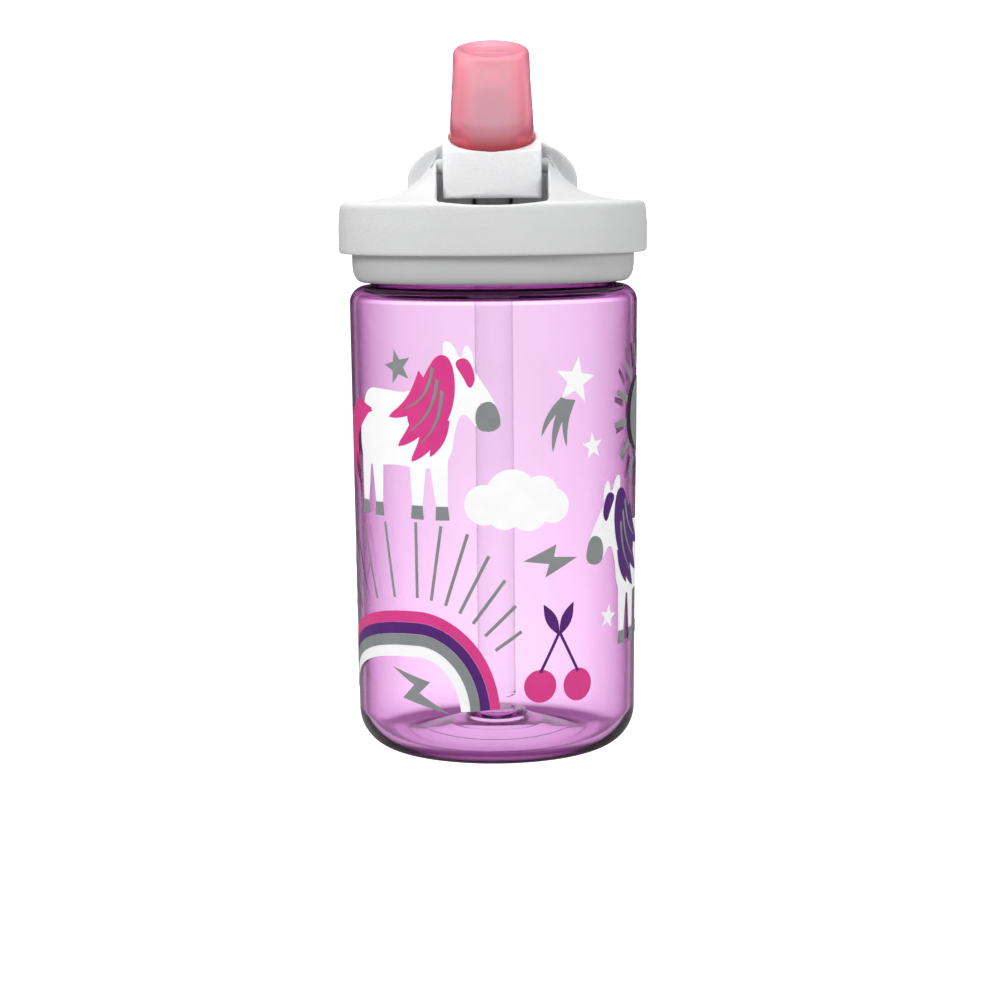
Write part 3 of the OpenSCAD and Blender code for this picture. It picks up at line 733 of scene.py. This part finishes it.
# %% Add the loop
loop_y, loop_z = 24.7, shell_high.z - 10.4
slot_back = pivot.y + 9.4
loop_r = 10.4
side = [(slot_back - 1, plate_top + 1), (slot_back - 1, shell_high.z - 4.5),
        (slot_back + 1, shell_high.z - 1.6), (slot_back + 5, shell_high.z - 0.2)]
side += arc(loop_y + 2.3, loop_z, loop_r, 90, 0, 10) + [(loop_y + 2.3 + loop_r, plate_top + 1)]
loop = plate("loop", side, lambda y, z: (-23, y, z), (46, 0, 0))
arch = [(22 * math.cos(a), deck + 5 + 12.4 * math.sin(a)) for a in [math.pi * i / 40 for i in range(41)]]
arch += [(-22, plate_top + 0.5), (22, plate_top + 0.5)]
join_with(loop, plate("arch", arch, lambda x, z: (x, 45, z), (0, -45, 0)), "INTERSECT")
join_with(loop, turned("round", [(0, plate_top), (skirt_r - 2.4, plate_top), (skirt_r - 2.4, 170),
                                 (0, 170)]), "INTERSECT")
join_with(shell, loop, "UNION")
hole = arc(loop_y + 2.3, loop_z, 6.6, -90, 90, 12) + arc(loop_y - 2.3, loop_z, 6.6, 90, 270, 12)
join_with(shell, plate("finger_hole", hole, lambda y, z: (-45, y, z), (90, 0, 0)), "DIFFERENCE")
soften(shell, 0.45, 0)
for side_x in (-1, 1):
    mouth = draw_chain("hole_mouth", hole, lambda y, z: (side_x * 9, loop_y + 0.96 * (y - loop_y),
                                                         loop_z + 0.96 * (z - loop_z)))
    bpy.ops.mesh.edge_face_add()
    bpy.ops.mesh.extrude_region_move(TRANSFORM_OT_translate={"value": (side_x * 15 * MM, 0, 0)})
    bpy.ops.transform.resize(value=(1, 1.62, 1.46),
                             center_override=(side_x * 24 * MM, loop_y * MM, (loop_z - 5.9) * MM))
    bpy.ops.mesh.select_all(action="SELECT")
    bpy.ops.mesh.normals_make_consistent(inside=False)
    bpy.ops.object.mode_set(mode="OBJECT")
    join_with(shell, mouth, "DIFFERENCE")

# %% [markdown]
# The slot is a plain box as deep as the spout needs to swing. In front of it the deck has a
# very shallow scoop, where the bite valve lies when the spout is folded.

# %% Cut the slot and the scoop
def block(name, low, high):
    bpy.ops.object.select_all(action="DESELECT")
    centre = [(a + b) / 2 * MM for a, b in zip(low, high)]
    bpy.ops.mesh.primitive_cube_add(size=1, location=centre, scale=[(b - a) * MM for a, b in zip(low, high)])
    piece = bpy.context.object
    piece.name = name
    bpy.ops.object.transform_apply(location=True, rotation=True, scale=True)
    return piece

join_with(shell, block("slot", (-14, -22, plate_top + 1.6), (14, slot_back, 200)), "DIFFERENCE")
scoop_x = [13.9 * i / 14 for i in range(-14, 15)]
scoop = [(-13.9, deck + 30)] + [(x, deck + 97.05 - math.sqrt(98 ** 2 - x * x)) for x in scoop_x]
scoop += [(13.9, deck + 30)]
join_with(shell, plate("scoop", scoop, lambda x, z: (x, -45, z), (0, 24, 0)), "DIFFERENCE")
riser_gap = turned("riser_gap", [(0, plate_top - 1), (5.2, plate_top - 1), (5.2, core_high.z + 0.6),
                                 (0, core_high.z + 0.6)], 48, (0, riser_y))
join_with(shell, riser_gap, "DIFFERENCE")
join_with(shell, block("port_gap", (-5.1, slot_back - 2, plate_top - 1.3),
                       (5.1, riser_y, core_high.z + 0.5)), "DIFFERENCE")
for side_x in (-1, 1):
    bpy.ops.object.select_all(action="DESELECT")
    pin_end = (side_x * 13.3 * MM, pivot.y * MM, pivot.z * MM)
    bpy.ops.mesh.primitive_uv_sphere_add(radius=2.6 * MM, location=pin_end)
    join_with(shell, bpy.context.object, "DIFFERENCE")
soften(shell, 0.48, 5)
smooth_shade(shell, 60)
finish_piece(shell, "lid", lid_textured, ["cap_shell"])

# %% [markdown]
# ## The spout's collar
# The collar is a small rounded block that leans forward with the spout. Its top is a flat rim
# with a cup for the foot of the bite valve, its back corners are round, and its front foot is
# rounded under. It is built upright on the pivot and then leaned.

# %% Build the collar
def lean_forward(piece):
    """Turns an upright piece about the spout's pivot by the spout's lean."""
    piece.data.transform(Matrix.Translation(pivot * MM) @ Matrix.Rotation(LEAN, 4, "X"))

half_w, half_d, rim = 12.4, 9.8, 7.2
plan = arc(half_w - 6, half_d - 6, 6, 0, 90, 10) + arc(-half_w + 6, half_d - 6, 6, 90, 180, 10)
plan += arc(-half_w + 1.8, -half_d + 2.4, 1.8, 180, 262, 6)
plan += [(x, -half_d + 0.55 * (x / 10.6) ** 2) for x in range(-8, 9, 2)]
plan += arc(half_w - 1.8, -half_d + 2.4, 1.8, -82, 0, 6)
sole = -5.9
collar = plate("spout_collar", plan, lambda x, y: (x, y, sole), (0, 0, rim + 1 - sole))
foot = arc(-half_d + 2.6, sole + 2.6, 2.6, 180, 270, 8)
foot += [(5, sole), (half_d + 1, 2.9), (half_d + 1, rim + 1), (2, rim + 0.9), (-4, rim + 0.2),
         (-half_d, rim + 0.1)]
join_with(collar, plate("foot", foot, lambda y, z: (-20, y, z), (40, 0, 0)), "INTERSECT")
join_with(collar, block("under", (-10.9, -half_d + 1.5, -6), (10.9, half_d + 3, 5.4)), "DIFFERENCE")
cup = turned("cup", [(0, 6.9), (10.95, 6.9), (11.0, 7.2), (11.0, 20), (0, 20)], 96)
cup.data.transform(Matrix.Diagonal((1, 0.88, 1, 1)))
join_with(collar, cup, "DIFFERENCE")
join_with(collar, turned("nipple_hole", [(0, -9), (4.75, -9), (4.75, 20), (0, 20)], 48), "DIFFERENCE")
soften(collar, 0.24, 5)
lean_forward(collar)
smooth_shade(collar, 60)
finish_piece(collar, "spout", collar_painted_light, ["spout_hood"])

# %% [markdown]
# ## The bite valve
# A child bites the soft tip and a slit opens. The valve is a hollow oval cup, upside down: thick
# walls, a rounded top edge and a shallow dish with the slit in it. The outside and the foot are
# spun as one outline. The hollow has eight flat sides, which show through the silicone as
# upright bands, so it is spun in eight steps and cut out. Then all of it is squeezed from front
# to back.

# %% Turn the bite valve
tip = 30.7
foot_r, tip_r = 10.7, 9.55
outline = [(5.7, 6.95), (foot_r - 0.3, 6.95)] + arc(foot_r - 0.45, 7.4, 0.45, -60, 0, 4)
outline += [(foot_r - 0.28, 14), (tip_r + 0.25, 23)]
outline += arc(tip_r - 1.5, tip - 1.5, 1.5, 4, 90, 8)
outline += [(7.4, tip - 0.1), (6.6, tip - 0.7), (5.6, tip - 1.0), (2.5, tip - 1.1), (0, tip - 1.1)]
outline += [(0, tip - 8), (5.7, tip - 8)]
valve = turned("bite_valve_soft", outline + outline[:1], steps=128)
hollow = turned("hollow", [(0, 10.4), (5.7, 10.4), (8.4, 12.6), (7.6, tip - 5.4), (6.4, tip - 3.4),
                           (0, tip - 3.0)], steps=8)
hollow.data.transform(Matrix.Rotation(math.radians(22.5), 4, "Z"))
join_with(valve, hollow, "DIFFERENCE")
valve.data.transform(Matrix.Diagonal((1, 0.875, 1, 1)))
join_with(valve, block("slit", (-4, -0.13, tip - 6), (4, 0.13, tip + 3)), "DIFFERENCE")
lean_forward(valve)
smooth_shade(valve, 40)
finish_piece(valve, "spout", bite_pink, ["bite_valve"])

# %% [markdown]
# ## The straw
# The straw is an extruded tube, pushed up into the lid's socket. It is seen through the clear
# body, where flat facets would show as ladders down its sides, so it is turned here with many
# steps. Its ends are rounded a little, as a cut end is.

# %% Turn the straw
tube_r = (straw_high.x - straw_low.x) / 2
bore_r = tube_r - 1.1
ends = [(bore_r, straw_low.z + 0.3), (bore_r + 0.3, straw_low.z), (tube_r - 0.3, straw_low.z),
        (tube_r, straw_low.z + 0.3), (tube_r, straw_high.z - 0.3), (tube_r - 0.3, straw_high.z),
        (bore_r + 0.3, straw_high.z), (bore_r, straw_high.z - 0.3)]
straw = turned("straw_tube", ends, 96, (riser_x, riser_y))
smooth_shade(straw)
finish_piece(straw, "lid", straw_soft, ["straw"])

# %% [markdown]
# ## Pieces whose CAD shape is already right
# The spout's stem and the seals are plain turned shapes, and the CAD gives their true surfaces.
# They only need a finish.

# %% Give the remaining CAD pieces their finishes
for node, material in (("spout_stem", lid_satin), ("cap_gasket", seal_clear),
                       ("port_seal", seal_clear), ("vent_valve", seal_clear)):
    for slot in nodes[node].material_slots:
        slot.material = material
    print(node, "keeps its CAD shape")

# %% [markdown]
# ## The floor, the light and the camera
# The floor and the air are plain white, as in a catalogue. Large soft lights give the lid its
# gentle shading.

# %% Set the stage
def stage_plane(name, size, location, material):
    bpy.ops.object.select_all(action="DESELECT")
    bpy.ops.mesh.primitive_plane_add(size=size, location=location)
    piece = bpy.context.object
    piece.name = name
    piece.data.materials.append(material)
    return piece

floor_white, tree, shader, coords = new_finish("floor_white")
between(tree, noise(tree, coords, 4), (0.33, 0.33, 0.33), (0.35, 0.35, 0.35), shader.inputs["Base Color"])
shader.inputs["Roughness"].default_value = 0.12
shader.inputs["Specular IOR Level"].default_value = 0.35
shader.inputs["Emission Color"].default_value = (1, 1, 1, 1)

def studio_white(tree, shadow, seen, mirror, target):
    """One brightness for soft light, one for what is seen directly or through the bottle, and
    a share of the first for what mirrors."""
    path = tree.nodes.new("ShaderNodeLightPath")
    def joined(operation, first, second):
        node = tree.nodes.new("ShaderNodeMath")
        node.operation = operation
        tree.links.new(first, node.inputs[0])
        tree.links.new(second, node.inputs[1])
        return node.outputs[0]
    def spread(factor, low, high):
        node = tree.nodes.new("ShaderNodeMapRange")
        node.inputs["To Min"].default_value = low
        node.inputs["To Max"].default_value = high
        tree.links.new(factor, node.inputs["Value"])
        return node.outputs["Result"]
    through = joined("MAXIMUM", path.outputs["Is Camera Ray"], path.outputs["Is Transmission Ray"])
    mirrored = joined("MULTIPLY", path.outputs["Is Glossy Ray"], path.outputs["Is Reflection Ray"])
    tree.links.new(joined("MULTIPLY", spread(through, shadow, seen), spread(mirrored, 1, mirror)), target)

studio_white(tree, 0.33, 1.28, 0.1, shader.inputs["Emission Strength"])
stage_plane("floor", 8, (0, 0, 0), floor_white)

world = bpy.data.worlds.new("studio")
world.use_nodes = True
air = world.node_tree.nodes["Background"]
air.inputs["Color"].default_value = (1, 1, 1, 1)
studio_white(world.node_tree, 0.42, 1.9, 0.1, air.inputs["Strength"])
bpy.context.scene.world = world
bpy.context.scene.view_settings.view_transform = "Standard"

def soft_light(name, power, size, place, aim):
    bpy.ops.object.light_add(type="AREA", location=place)
    lamp = bpy.context.object
    lamp.name = name
    lamp.data.energy = power
    lamp.data.size = size
    lamp.rotation_euler = (Vector(aim) - Vector(place)).to_track_quat("-Z", "Y").to_euler()
    lamp.visible_glossy = False
    lamp.visible_transmission = False

soft_light("key_left", 5.7, 0.35, (-0.5, -0.78, 0.55), (0, 0, 0.14))
soft_light("fill_right", 2.8, 0.3, (0.8, -0.2, 0.3), (0, 0, 0.14))
soft_light("top", 2.2, 0.35, (-0.05, 0.05, 0.55), (0, 0, 0.12))

# %% Place the camera
bpy.ops.object.camera_add(location=(0.00125, -0.65, 0.1432))
camera = bpy.context.object
camera.name = "camera"
camera.matrix_world = (Matrix.Translation(camera.location) @ Matrix.Rotation(math.radians(90 - 6.98), 4, "X")
                       @ Matrix.Rotation(math.radians(-0.5), 4, "Z"))
camera.data.sensor_width = 36
camera.data.lens = 90.9
camera.data.dof.use_dof = False
bpy.context.scene.camera = camera
